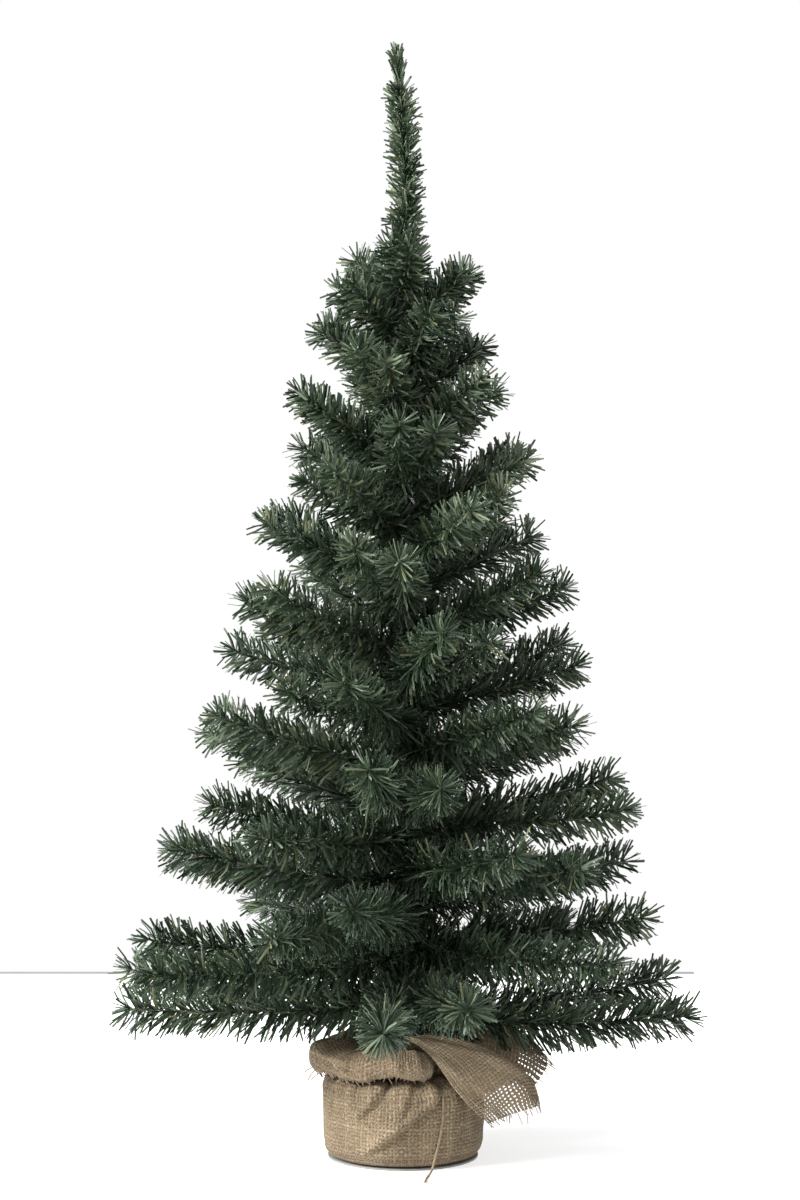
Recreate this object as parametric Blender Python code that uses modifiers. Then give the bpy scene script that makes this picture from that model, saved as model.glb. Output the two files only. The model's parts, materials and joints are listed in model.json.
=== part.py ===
"""Artificial tabletop tree: brush wires folded into a wrapped stem, on a weighted base in tied hessian.

Metres, +Z up, the floor at z = 0, the front towards -Y.
"""

import math
import random

import bmesh
import bpy
from mathutils import Vector

# ---------------------------------------------------------------- sizes
TREE_HEIGHT = 0.750       # floor to the tip of the top wire

GAP = 0.0003              # working gap between pieces that touch

PAD_RADIUS = 0.0510
PAD_THICK = 0.0012

BLOCK_RADIUS = 0.0515     # cast weight
BLOCK_HEIGHT = 0.0470
BLOCK_CHAMFER = 0.0030

CLOTH_THICK = 0.0012
NECK_RADIUS = 0.0272      # middle of the cloth where the twine draws it in
NECK_RISE = 0.0095        # from the top of the weight to the twine
COLLAR_LENGTH = 0.0520    # cloth above the twine
COLLAR_EXTRA = 0.0220     # how much longer it shows on the flap's side
COLLAR_START = 74.0       # degrees above level as it leaves the twine
FLAP_BEARING = -22.0      # degrees, where the collar reaches furthest

TWINE_RADIUS = 0.00085
KNOT_RADIUS = 0.0026
KNOT_BEARING = -38.0
TAIL_OUT = 0.0345         # how far the loose end lies out from the side

STEM_RADIUS = 0.0030      # twisted core wires
WRAP_THICK = 0.0020       # green tape round them
STEM_FOOT = 0.0050        # the core stands this far above the weight's underside

BRANCH_COUNT = 50
FIRST_ROOT = 0.0950
LAST_ROOT = 0.5860
TURN = 137.5              # degrees from one branch to the next
PHASE = 10.0
CONE_TOP = 0.744          # the branch tips end on a cone with its point at this height
CONE_SLOPE = 0.296        # tip radius for each metre below that point
LOW_RISE = 1.0            # degrees above level, lowest branch
HIGH_RISE = 43.0          # and highest branch
HALF_SPREAD = 9.3         # degrees between a branch's middle and each of its two tips
ARMS_APART = (1.8, 4.0)    # degrees that one arm of a pair rises and the other falls
SAG = 0.022               # dip of an arm below its chord, as a share of its length
BOW = 0.020               # bulge of an arm away from its twin, as a share of its length
BENT = {1: 34.0, 2: -10.0}  # branches bent sideways by hand: place in the spiral, degrees
SEED = 23275

WIRE_RADIUS = 0.0012      # bare folded wire at the root
BARE_SHARE = 0.17         # share of an arm that is bare in the model
BRUSH_RADIUS_LOW = 0.0042
BRUSH_RADIUS_HIGH = 0.0032
FOLD_HALF = 0.0016        # half the distance between the two wires at the fold

LEADER_PIVOT = 0.5960
LEADER_BRUSH = 0.0048
LEADER_LEAN = 2.0         # degrees towards -X

TUBE_SIDES = 6
AROUND = 36

# ---------------------------------------------------------------- derived
BLOCK_FOOT = PAD_THICK + GAP + CLOTH_THICK + GAP
BLOCK_TOP = BLOCK_FOOT + BLOCK_HEIGHT
CLOTH_RADIUS = BLOCK_RADIUS + GAP + CLOTH_THICK / 2 + 0.0010
NECK_HEIGHT = BLOCK_TOP + NECK_RISE
WRAP_RADIUS = STEM_RADIUS + GAP + WRAP_THICK
ROOT_RADIUS = WRAP_RADIUS + GAP + WIRE_RADIUS + FOLD_HALF
TWINE_RING = NECK_RADIUS + CLOTH_THICK / 2 + GAP + TWINE_RADIUS


# ---------------------------------------------------------------- scene
def clear():
    for thing in list(bpy.data.objects):
        bpy.data.objects.remove(thing, do_unlink=True)
    for group in list(bpy.data.collections):
        bpy.data.collections.remove(group)


def collection(name):
    group = bpy.data.collections.new(name)
    bpy.context.scene.collection.children.link(group)
    return group


def finish(thing, group, colour, roughness, metallic=0.0):
    material = bpy.data.materials.new(thing.name + "_finish")
    material.use_nodes = True
    shader = material.node_tree.nodes["Principled BSDF"]
    shader.inputs["Base Color"].default_value = (*colour, 1.0)
    shader.inputs["Roughness"].default_value = roughness
    shader.inputs["Metallic"].default_value = metallic
    thing.data.materials.append(material)
    group.objects.link(thing)
    return thing


def mesh_object(name, verts, faces, origin=(0.0, 0.0, 0.0)):
    mesh = bpy.data.meshes.new(name)
    mesh.from_pydata([tuple(v) for v in verts], [], faces)
    mesh.validate()
    work = bmesh.new()
    work.from_mesh(mesh)
    bmesh.ops.recalc_face_normals(work, faces=work.faces)
    work.to_mesh(mesh)
    work.free()
    thing = bpy.data.objects.new(name, mesh)
    thing.location = origin
    return thing


def turned(name, profile, steps=AROUND, closed=False):
    """A lathe body about Z from (radius, height) points. Points on the axis close it; closed joins last to first."""
    verts, rings = [], []
    for radius, height in profile:
        if radius < 1e-9:
            rings.append([len(verts)])
            verts.append((0.0, 0.0, height))
            continue
        rings.append(list(range(len(verts), len(verts) + steps)))
        for k in range(steps):
            angle = 2 * math.pi * k / steps
            verts.append((radius * math.cos(angle), radius * math.sin(angle), height))
    pairs = list(zip(rings, rings[1:]))
    if closed:
        pairs.append((rings[-1], rings[0]))
    faces = []
    for low, high in pairs:
        for k in range(steps):
            n = (k + 1) % steps
            if len(low) == 1:
                faces.append((low[0], high[k], high[n]))
            elif len(high) == 1:
                faces.append((low[k], low[n], high[0]))
            else:
                faces.append((low[k], low[n], high[n], high[k]))
    return mesh_object(name, verts, faces)


def tube(name, points, radii, origin, ring=False):
    """A round wire through the points, with its own radius at each, its origin where asked."""
    curve = bpy.data.curves.new(name, "CURVE")
    curve.dimensions = "3D"
    curve.bevel_mode = "ROUND"
    curve.bevel_depth = max(radii)
    curve.bevel_resolution = (TUBE_SIDES - 4) // 2
    curve.use_fill_caps = not ring
    spline = curve.splines.new("POLY")
    spline.points.add(len(points) - 1)
    for spot, place, radius in zip(spline.points, points, radii):
        spot.co = (*(Vector(place) - Vector(origin)), 1.0)
        spot.radius = radius / max(radii)
    spline.use_cyclic_u = ring
    thing = bpy.data.objects.new(name, curve)
    thing.location = origin
    return thing


# ---------------------------------------------------------------- base
def base_pad(group):
    profile = [(0.0, 0.0), (PAD_RADIUS, 0.0), (PAD_RADIUS, PAD_THICK), (0.0, PAD_THICK)]
    finish(turned("base_pad", profile), group, (0.16, 0.17, 0.18), 0.95)


def weight_block(group):
    bore = STEM_RADIUS + GAP
    low, high, edge = BLOCK_FOOT, BLOCK_TOP, BLOCK_CHAMFER
    profile = [
        (0.0, low),
        (BLOCK_RADIUS - edge, low),
        (BLOCK_RADIUS, low + edge),
        (BLOCK_RADIUS, high - edge),
        (BLOCK_RADIUS - edge, high),
        (bore, high),
        (bore, low + STEM_FOOT - GAP),
        (0.0, low + STEM_FOOT - GAP),
    ]
    finish(turned("weight_block", profile), group, (0.42, 0.41, 0.39), 0.9)


def collar_shape(angle):
    """Length of the collar at a bearing, and the slope in degrees at which it starts and ends."""
    side = math.cos(angle - math.radians(FLAP_BEARING))
    reach = COLLAR_LENGTH + COLLAR_EXTRA * max(0.0, side) ** 2
    back = math.cos(angle - math.radians(48.0))
    slope = -96.0 + 62.0 * max(0.0, back) ** 1.5 + 16.0 * max(0.0, side) ** 3
    ripple = 3.0 * math.sin(5 * angle + 0.7) + 2.0 * math.sin(9 * angle)
    return reach, COLLAR_START - 14.0 * max(0.0, side), slope + ripple


def cloth_rows(angle):
    """Middle line of the cloth at one bearing, from under the block, up the side, in to the twine and out as the collar."""
    foot = PAD_THICK + GAP + CLOTH_THICK / 2
    side = CLOTH_RADIUS
    top = BLOCK_TOP
    line = [
        (0.0340, foot),
        (side - 0.0042, foot),
        (side - 0.0012, foot + 0.0022),
        (side, foot + 0.0065),
        (side, (foot + top) / 2),
        (side, top - 0.0050),
        (side - 0.0024, top + 0.0014),
        (side - 0.0100, top + 0.0044),
        (NECK_RADIUS + 0.0045, NECK_HEIGHT - 0.0040),
        (NECK_RADIUS + 0.0008, NECK_HEIGHT - 0.0022),
        (NECK_RADIUS, NECK_HEIGHT - 0.0010),
        (NECK_RADIUS, NECK_HEIGHT + 0.0012),
    ]
    reach, start, end = collar_shape(angle)
    radius, height = line[-1]
    steps = 7
    for k in range(steps):
        slope = math.radians(start + (end - start) * (k + 0.5) / steps)
        radius += reach / steps * math.cos(slope)
        height += reach / steps * math.sin(slope)
        line.append((radius, height))
    return line


def burlap_wrap(group):
    columns = [cloth_rows(2 * math.pi * k / AROUND) for k in range(AROUND)]
    rows = len(columns[0])
    verts, faces = [], []
    for k, column in enumerate(columns):
        angle = 2 * math.pi * k / AROUND
        for row, (radius, height) in enumerate(column):
            verts.append((radius * math.cos(angle), radius * math.sin(angle), height))
    for k in range(AROUND):
        n = (k + 1) % AROUND
        for row in range(rows - 1):
            a, b = k * rows + row, n * rows + row
            faces.append((a, b, b + 1, a + 1))
    cloth = mesh_object("burlap_wrap", verts, faces)
    thick = cloth.modifiers.new("cloth thickness", "SOLIDIFY")
    thick.thickness = CLOTH_THICK
    thick.offset = 0.0
    thick.use_even_offset = True
    finish(cloth, group, (0.47, 0.36, 0.24), 0.95)


# ---------------------------------------------------------------- twine
def knot_place():
    bearing = math.radians(KNOT_BEARING)
    radius = TWINE_RING + TWINE_RADIUS + GAP + KNOT_RADIUS
    return Vector((radius * math.cos(bearing), radius * math.sin(bearing), NECK_HEIGHT + 0.0012))


def twine_tie(group):
    points = []
    for k in range(32):
        angle = 2 * math.pi * k / 32
        points.append((TWINE_RING * math.cos(angle), TWINE_RING * math.sin(angle), NECK_HEIGHT))
    ring = tube("twine_tie", points, [TWINE_RADIUS] * 32, (0.0, 0.0, NECK_HEIGHT), ring=True)
    finish(ring, group, (0.52, 0.42, 0.28), 0.9)


def twine_knot(group):
    """Two lumps of an overhand knot in one body."""
    place = knot_place()
    profile = []
    for k in range(7):
        angle = math.pi * (k / 6 - 0.5)
        waist = 1.0 - 0.18 * math.cos(angle) ** 8
        profile.append((KNOT_RADIUS * math.cos(angle) * waist, KNOT_RADIUS * 1.05 * math.sin(angle)))
    profile[0] = (0.0, profile[0][1])
    profile[-1] = (0.0, profile[-1][1])
    knot = turned("twine_knot", profile, steps=10)
    knot.location = place
    finish(knot, group, (0.52, 0.42, 0.28), 0.9)


def tail_line():
    """The loose end: from the knot over the shoulder, down the side and out on the table."""
    knot_side = knot_place().xy.length + KNOT_RADIUS + GAP
    side = CLOTH_RADIUS
    top = BLOCK_TOP
    route = (
        (-40.0, knot_side, NECK_HEIGHT - 0.0010),
        (-45.8, knot_side + 0.0030, NECK_HEIGHT - 0.0018),
        (-50.9, side - 0.0114, top + 0.0072),
        (-54.4, side - 0.0079, top + 0.0062),
        (-57.1, side - 0.0046, top + 0.0048),
        (-59.5, side - 0.0007, top + 0.0028),
        (-60.8, side + 0.0012, top - 0.0004),
        (-61.4, side + 0.0022, top - 0.0045),
        (-61.6, side + 0.0024, top - 0.0100),
        (-62.0, side + 0.0024, top - 0.0170),
        (-63.2, side + 0.0026, top - 0.0240),
        (-65.0, side + 0.0031, top - 0.0310),
        (-67.4, side + 0.0043, top - 0.0375),
        (-70.0, side + 0.0070, top - 0.0430),
        (-73.0, side + 0.0116, top - 0.0470),
        (-76.0, side + 0.0174, TWINE_RADIUS + 0.00035),
        (-78.4, side + 0.0240, TWINE_RADIUS),
        (-80.6, side + TAIL_OUT, TWINE_RADIUS),
    )
    line = []
    for bearing, radius, height in route:
        angle = math.radians(bearing)
        line.append(Vector((radius * math.cos(angle), radius * math.sin(angle), height)))
    return line


def twine_tail(group):
    line = tail_line()
    tail = tube("twine_tail", line, [TWINE_RADIUS] * len(line), line[0])
    finish(tail, group, (0.52, 0.42, 0.28), 0.9)


# ---------------------------------------------------------------- stem
def trunk_core(group):
    low, high = BLOCK_FOOT + STEM_FOOT, LAST_ROOT + 0.0060
    profile = [(0.0, low), (STEM_RADIUS, low), (STEM_RADIUS, high), (0.0, high)]
    finish(turned("trunk_core", profile, steps=16), group, (0.10, 0.16, 0.11), 0.5, 0.6)


def trunk_wrap(group):
    inner = STEM_RADIUS + GAP
    low, high = BLOCK_TOP + GAP, LAST_ROOT + 0.0050
    profile = [(inner, low), (WRAP_RADIUS, low), (WRAP_RADIUS, high), (inner, high)]
    finish(turned("trunk_wrap", profile, steps=16, closed=True), group, (0.03, 0.10, 0.05), 0.6)


def leader(group):
    """The top wire, on its own bend at the head of the stem."""
    lean = math.tan(math.radians(LEADER_LEAN))
    long = TREE_HEIGHT - LEADER_PIVOT
    shares = (0.0, 0.07, 0.13, 0.40, 0.70, 0.93, 1.0)
    radii = (0.0016, 0.0016, LEADER_BRUSH, LEADER_BRUSH, LEADER_BRUSH * 0.9, LEADER_BRUSH * 0.7, 0.0015)
    points = []
    for share in shares:
        bend = 0.004 * math.sin(math.pi * share)
        points.append((-lean * long * share + bend, 0.0, LEADER_PIVOT + long * share))
    wire = tube("leader", points, radii, (0.0, 0.0, LEADER_PIVOT))
    finish(wire, group, (0.05, 0.14, 0.08), 0.55)


# ---------------------------------------------------------------- branches
def branch_plan():
    """Bearing, root height and the two arms of every branch. An arm is (out, across, up) at its tip."""
    dice = random.Random(SEED)
    plan = []
    for k in range(BRANCH_COUNT):
        share = k / (BRANCH_COUNT - 1)
        height = FIRST_ROOT + (LAST_ROOT - FIRST_ROOT) * share
        bearing = PHASE + TURN * k + BENT.get(k, 0.0) + dice.uniform(-4.0, 4.0)
        rise = LOW_RISE + (HIGH_RISE - LOW_RISE) * share ** 1.15
        part = dice.choice((-1, 1)) * dice.uniform(*ARMS_APART)
        arms = []
        for side in (-1, 1):
            angle = math.radians(max(0.0, rise + side * part + dice.uniform(-1.0, 1.0)))
            spread = math.radians(HALF_SPREAD + dice.uniform(-1.2, 0.8))
            slope = math.tan(angle)
            below = CONE_TOP - height + ROOT_RADIUS * slope
            tip = CONE_SLOPE * below / (1.0 + CONE_SLOPE * slope) * dice.uniform(0.95, 1.03)
            out = tip * math.cos(spread) - ROOT_RADIUS
            arms.append((out, side * tip * math.sin(spread), out * slope))
        plan.append((bearing, height, arms))
    return plan


def arm_point(arm, side, share):
    """A point of an arm at a share of its length, as (out, across, up) from the root."""
    out, across, up = arm
    bulge = BOW * out * 4.0 * share * (1.0 - share)
    dip = SAG * out * 4.0 * share * (1.0 - share)
    start = side * FOLD_HALF
    return (out * share, start + (across - start) * share + side * bulge, up * share - dip)


def branch(group, number, bearing, height, arms):
    """One brush wire folded at the stem, so that it makes two tips."""
    name = "branch_%02d" % (number + 1)
    angle = math.radians(bearing)
    outward = Vector((math.cos(angle), math.sin(angle), 0.0))
    across = Vector((-math.sin(angle), math.cos(angle), 0.0))
    root = outward * ROOT_RADIUS + Vector((0.0, 0.0, height))
    brush = BRUSH_RADIUS_LOW + (BRUSH_RADIUS_HIGH - BRUSH_RADIUS_LOW) * number / (BRANCH_COUNT - 1)
    points, radii = [], []

    def place(spot, radius):
        points.append(root + outward * spot[0] + across * spot[1] + Vector((0.0, 0.0, spot[2])))
        radii.append(radius)

    stations = (
        (1.0, 0.0014),
        (0.93, brush * 0.72),
        (0.72, brush),
        (0.46, brush),
        (BARE_SHARE + 0.06, brush),
        (BARE_SHARE, WIRE_RADIUS),
        (0.04, WIRE_RADIUS),
    )
    for share, radius in stations:
        place(arm_point(arms[0], -1, share), radius)
    for turn in (-60, 0, 60):
        bend = math.radians(turn)
        place((-FOLD_HALF * math.cos(bend), FOLD_HALF * math.sin(bend), 0.0), WIRE_RADIUS)
    for share, radius in reversed(stations):
        place(arm_point(arms[1], 1, share), radius)
    wire = tube(name, points, radii, root)
    finish(wire, group, (0.05, 0.14, 0.08), 0.55)


def main():
    clear()
    group = collection("tabletop_tree")
    base_pad(group)
    weight_block(group)
    burlap_wrap(group)
    twine_tie(group)
    twine_knot(group)
    twine_tail(group)
    trunk_core(group)
    trunk_wrap(group)
    leader(group)
    for number, (bearing, height, arms) in enumerate(branch_plan()):
        branch(group, number, bearing, height, arms)


main()
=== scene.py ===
"""Looks of an artificial tabletop tree: brush branches on a taped stem, on a weighted base in tied hessian.

Metres, +Z up, the floor at z = 0, the front towards -Y.
"""

import json
import math
import random

import bpy
import numpy as np
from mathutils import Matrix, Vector


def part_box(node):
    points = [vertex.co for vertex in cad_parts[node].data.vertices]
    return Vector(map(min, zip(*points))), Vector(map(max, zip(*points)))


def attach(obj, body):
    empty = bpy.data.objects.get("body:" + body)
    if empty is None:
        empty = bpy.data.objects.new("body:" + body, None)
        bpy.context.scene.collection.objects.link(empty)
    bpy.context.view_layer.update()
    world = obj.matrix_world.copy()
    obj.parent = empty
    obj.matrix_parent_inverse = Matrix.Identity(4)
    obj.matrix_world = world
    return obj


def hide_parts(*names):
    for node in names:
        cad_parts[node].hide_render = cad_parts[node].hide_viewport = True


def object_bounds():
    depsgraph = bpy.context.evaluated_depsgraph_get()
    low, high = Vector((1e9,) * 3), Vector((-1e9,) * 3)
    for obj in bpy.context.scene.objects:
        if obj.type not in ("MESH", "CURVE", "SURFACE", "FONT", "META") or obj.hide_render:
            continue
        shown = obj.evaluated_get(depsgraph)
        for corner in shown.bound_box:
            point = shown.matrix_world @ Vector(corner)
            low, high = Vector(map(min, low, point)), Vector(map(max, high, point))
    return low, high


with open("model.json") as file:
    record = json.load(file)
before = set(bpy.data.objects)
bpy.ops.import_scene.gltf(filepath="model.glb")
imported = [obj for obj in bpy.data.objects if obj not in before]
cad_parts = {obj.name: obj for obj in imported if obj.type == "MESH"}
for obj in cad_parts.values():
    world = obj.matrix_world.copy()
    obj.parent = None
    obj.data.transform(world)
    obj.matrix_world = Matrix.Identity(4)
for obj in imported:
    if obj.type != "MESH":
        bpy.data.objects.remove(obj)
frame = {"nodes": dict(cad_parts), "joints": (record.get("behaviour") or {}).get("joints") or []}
cad_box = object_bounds()

# ---------------------------------------------------------------- sizes
NEEDLE_LONG = 0.0210          # needles of the lowest branches
NEEDLE_SHORT = 0.0150         # and of the highest
BRANCHES_TOP = 0.78           # where those are, as a share of the height
INNER_LONGER = 1.40           # needles near the stem against those at the tips
NEEDLE_WIDE = 0.00152
NEEDLE_THICK = 0.00028
NEEDLES_PER_METRE = 3950
NEEDLE_LEAN = 62.0            # degrees between a needle and its wire
NEEDLE_CURL = 8.0             # degrees it bends towards the tip
NEEDLE_TURN = 0.0042          # length of wire in which the needles go half round it
ROOT_LONG = 0.014             # next to the stem the needles stand further off the wire
ROOT_LEAN = 22.0
TUFT_SHARE = 0.34             # lean in a tuft against the lean below it
LEAST_LEAN = 4.0
TOP_NEEDLE = 0.0125           # the top wire's needles
TOP_NEEDLES = 900
TOP_LEAN = 58.0
TOP_TUFT = 0.020              # length of its closed tuft
TOP_SHORT = 0.0105            # the wire ends this far below the last needle tips
WOUND_NEEDLES = 90            # needles round the fold at the stem
WOUND_HALF = 0.006            # and how far up and down they are
WOUND_LEAN = 84.0
TAPE_SLACK = 0.0006

WIRE_WIDE = 0.00095           # half widths of the twisted pair of wires
WIRE_FLAT = 0.00055
WIRE_STEP = 0.0012
WIRE_TURN = 62.0              # degrees of twist at each step

HESSIAN_THICK = 0.0009
THREAD_PITCH = 0.0024
STRIP_LONG = 0.385            # cut size of the hessian
STRIP_START = -100.0          # bearing of its inner end on the base, degrees
STRIP_TURN = 410.0            # degrees that it goes round
CLOTH_STEP = 0.0014
CLOTH_EASE = 0.0008           # room between the cloth and the weight
LAP_CLIMB = (228.0, 262.0)    # bearings between which the strip climbs over its own start
LAP_RISE = 0.0014
VALLEY_DEEP = 0.32            # the hollow beside a pleat, against the pleat's rise
VALLEY_OFF = 0.0024
VALLEY_WIDE = 0.0022
COLLAR_RUN = 0.100            # free cloth above the twine, for the number of its rows
COLLAR_NODES = 12             # even stations on each of its lines
LOOSE_WIDE = 0.020            # open weave along the cut edge
FRAY_WIDE = 0.006
FRINGE_PITCH = 0.003          # twist of the threads that stand out of it
STRAY_LONG = 0.009
STRAY_THICK = 0.0009

TWINE_THICK = 0.0017
TWINE_PITCH = 0.0052

CAMERA_PLACE = (0.0, -2.300, 0.5023)
CAMERA_AIM = (-0.002, 0.0, 0.3773)
CAMERA_LENS = 102.64
SHELL_LIGHT = 0.70            # light from the white studio, against its brightness behind the tree

TABLE_HALF = 4.0
TABLE_FRONT = -3.0
TABLE_EDGE = 0.762            # how far back the table reaches
# The table's far edge is a thin grey strip of painted shade, laid just above the top.
EDGE_WIDE = 0.012
EDGE_LIFT = 0.0002
EDGE_END = 0.262              # where the edge's grey line stops on the right

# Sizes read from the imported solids.
BLOCK_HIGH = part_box("weight_block")[1]
TIE_LOW, TIE_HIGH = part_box("twine_tie")
SIDE = BLOCK_HIGH.x + 0.0019                      # middle of the cloth on the base's side
TOP = BLOCK_HIGH.z
NECK_Z = (TIE_LOW.z + TIE_HIGH.z) / 2
NECK = TIE_HIGH.x - TWINE_THICK - 0.0009          # middle of the cloth at the twine
KNOT = sum(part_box("twine_knot"), Vector()) / 2
KNOT_BEARING = -38.0          # degrees
STEM_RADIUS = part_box("trunk_wrap")[1].x + 0.0003
STEM_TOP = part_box("trunk_wrap")[1].z


# ---------------------------------------------------------------- shader maths
class Value:
    """One value in a material. Arithmetic on it adds Math nodes."""

    def __init__(self, paint, socket):
        self.paint = paint
        self.socket = socket

    def maths(self, operation, *others):
        return self.paint.node("ShaderNodeMath", {"operation": operation}, (self, *others))[0]

    def __add__(self, other):
        return self.maths("ADD", other)

    __radd__ = __add__

    def __sub__(self, other):
        return self.maths("SUBTRACT", other)

    def __rsub__(self, other):
        return self.paint.node("ShaderNodeMath", {"operation": "SUBTRACT"}, (other, self))[0]

    def __mul__(self, other):
        return self.maths("MULTIPLY", other)

    __rmul__ = __mul__

    def __truediv__(self, other):
        return self.maths("DIVIDE", other)

    def __pow__(self, other):
        return self.maths("POWER", other)

    def __gt__(self, other):
        return self.maths("GREATER_THAN", other)

    def __lt__(self, other):
        return self.maths("LESS_THAN", other)

    def clamp(self):
        return self.paint.node("ShaderNodeClamp", {}, {"Value": self})[0]


class Made:
    """A node's outputs, by name or number."""

    def __init__(self, paint, node):
        self.paint = paint
        self.node = node

    def __getitem__(self, key):
        return Value(self.paint, self.node.outputs[key])


class Paint:
    """A material being made."""

    def __init__(self, name):
        self.material = bpy.data.materials.new(name)
        self.material.use_nodes = True
        self.tree = self.material.node_tree
        self.tree.nodes.clear()

    def node(self, kind, settings, sockets):
        """Adds a node: its settings first, then what its sockets hold or are linked to."""
        made = self.tree.nodes.new(kind)
        for key, setting in settings.items():
            if key == "stops":
                ramp = made.color_ramp
                while len(ramp.elements) < len(setting):
                    ramp.elements.new(1.0)
                for element, (place, colour) in zip(ramp.elements, setting):
                    element.position = place
                    element.color = (*colour, 1.0)
            else:
                setattr(made, key, setting)
        pairs = sockets.items() if isinstance(sockets, dict) else enumerate(sockets)
        for key, held in pairs:
            if isinstance(held, Value):
                self.tree.links.new(held.socket, made.inputs[key])
            elif isinstance(held, tuple) and len(held) == 3 and len(made.inputs[key].default_value) == 4:
                made.inputs[key].default_value = (*held, 1.0)
            else:
                made.inputs[key].default_value = held
        return Made(self, made)

    def attribute(self, name):
        return self.node("ShaderNodeAttribute", {"attribute_name": name}, {})

    def place(self):
        return self.node("ShaderNodeTexCoord", {}, {})["Object"]

    def split(self, vector):
        made = self.node("ShaderNodeSeparateXYZ", {}, {0: vector})
        return made["X"], made["Y"], made["Z"]

    def scaled(self, vector, factor):
        made = self.node("ShaderNodeVectorMath", {"operation": "MULTIPLY"}, {0: vector, 1: factor})
        return made["Vector"]

    def noise(self, vector, scale, detail=3.0):
        sockets = {"Vector": vector, "Scale": scale, "Detail": detail}
        return self.node("ShaderNodeTexNoise", {}, sockets)[0]

    def chance(self, number):
        return self.node("ShaderNodeTexWhiteNoise", {"noise_dimensions": "1D"}, {"W": number})["Value"]

    def blend(self, share, low, high):
        return self.node("ShaderNodeMix", {"data_type": "RGBA"}, {0: share, 6: low, 7: high})[2]

    def ramp(self, share, stops):
        return self.node("ShaderNodeValToRGB", {"stops": stops}, {0: share})[0]

    def bump(self, height, distance, strength=1.0):
        sockets = {"Height": height, "Distance": distance, "Strength": strength}
        return self.node("ShaderNodeBump", {}, sockets)[0]

    def surface(self, **sockets):
        named = {key.replace("_", " "): held for key, held in sockets.items()}
        shader = self.node("ShaderNodeBsdfPrincipled", {}, named)[0]
        self.node("ShaderNodeOutputMaterial", {}, {"Surface": shader})
        return self.material


# ---------------------------------------------------------------- finishes
def needle_green():
    """Slit plastic film: deep green, some strips paler, a few olive, pale at the cut end."""
    paint = Paint("needle_green")
    # tone is each strip's own tone, raised on the higher branches as painted light from above.
    tone = paint.attribute("tone")["Fac"]
    reach = paint.attribute("reach")["Fac"]
    spread = paint.noise(paint.place(), 34.0, 2.0)
    film = paint.ramp(
        tone + (spread - 0.5) * 0.35,
        [
            (0.00, (0.006, 0.013, 0.006)),
            (0.30, (0.015, 0.029, 0.014)),
            (0.60, (0.036, 0.058, 0.031)),
            (0.86, (0.122, 0.156, 0.104)),
            (1.00, (0.120, 0.122, 0.052)),
        ],
    )
    streak = paint.noise(paint.scaled(paint.place(), (900.0, 900.0, 900.0)), 1.0, 2.0)
    film = paint.blend((streak * 0.22).clamp(), film, (0.05, 0.08, 0.05))
    # Painted shade: each strip darkens towards its root, where the needles crowd round the wire.
    film_with_root_shade = paint.blend((1.0 - reach * 2.2).clamp() * 0.55, film, (0.012, 0.022, 0.008))
    cut = paint.blend((reach > 0.985) * 0.7, film_with_root_shade, (0.13, 0.17, 0.12))
    rough = 0.27 + 0.16 * tone
    return paint.surface(
        Base_Color=cut,
        Roughness=rough,
        Specular_IOR_Level=0.26,
        Normal=paint.bump(streak, 0.00012, 0.5),
    )


def wire_green():
    """Twisted wire, lacquered green, with bare steel at its high spots."""
    paint = Paint("wire_green")
    worn = paint.noise(paint.place(), 420.0, 4.0)
    stops = [(0.35, (0.030, 0.050, 0.026)), (0.58, (0.070, 0.082, 0.050)), (0.75, (0.20, 0.20, 0.16))]
    colour = paint.ramp(worn, stops)
    return paint.surface(
        Base_Color=colour,
        Roughness=0.35 + worn * 0.25,
        Metallic=(worn > 0.62) * 0.8,
        Normal=paint.bump(worn, 0.0001, 0.6),
    )


def stem_tape():
    """Crinkled green tape wound up the stem in overlapping turns."""
    paint = Paint("stem_tape")
    x, y, z = paint.split(paint.place())
    turn = y.maths("ARCTAN2", x) / (2.0 * math.pi)
    lap = (z / 0.011 + turn).maths("FRACT")
    crinkle = paint.noise(paint.scaled(paint.place(), (1.0, 1.0, 3.2)), 520.0, 4.0)
    colour = paint.blend(crinkle, (0.004, 0.009, 0.006), (0.012, 0.022, 0.014))
    # Painted shade: a darker line along each lap's edge, in the step where one turn overlaps the next.
    edge = (lap < 0.09) * 0.8
    colour = paint.blend(edge, colour, (0.003, 0.005, 0.004))
    return paint.surface(
        Base_Color=colour,
        Roughness=0.48 + crinkle * 0.2,
        Normal=paint.bump(lap * 0.7 + crinkle * 0.5, 0.0006, 0.9),
    )


def stem_steel():
    """The two core wires, twisted."""
    paint = Paint("stem_steel")
    x, y, z = paint.split(paint.place())
    lay = ((y.maths("ARCTAN2", x) / math.pi + z / 0.016).maths("FRACT") - 0.5).maths("ABSOLUTE")
    rust = paint.noise(paint.place(), 300.0, 5.0)
    stops = [(0.40, (0.26, 0.27, 0.27)), (0.62, (0.34, 0.33, 0.31)), (0.75, (0.20, 0.11, 0.06))]
    colour = paint.ramp(rust, stops)
    return paint.surface(
        Base_Color=colour,
        Metallic=(rust < 0.68) * 0.9,
        Roughness=0.32 + rust * 0.35,
        Normal=paint.bump((0.5 - lay) ** 0.5, 0.0012, 0.8),
    )


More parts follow.
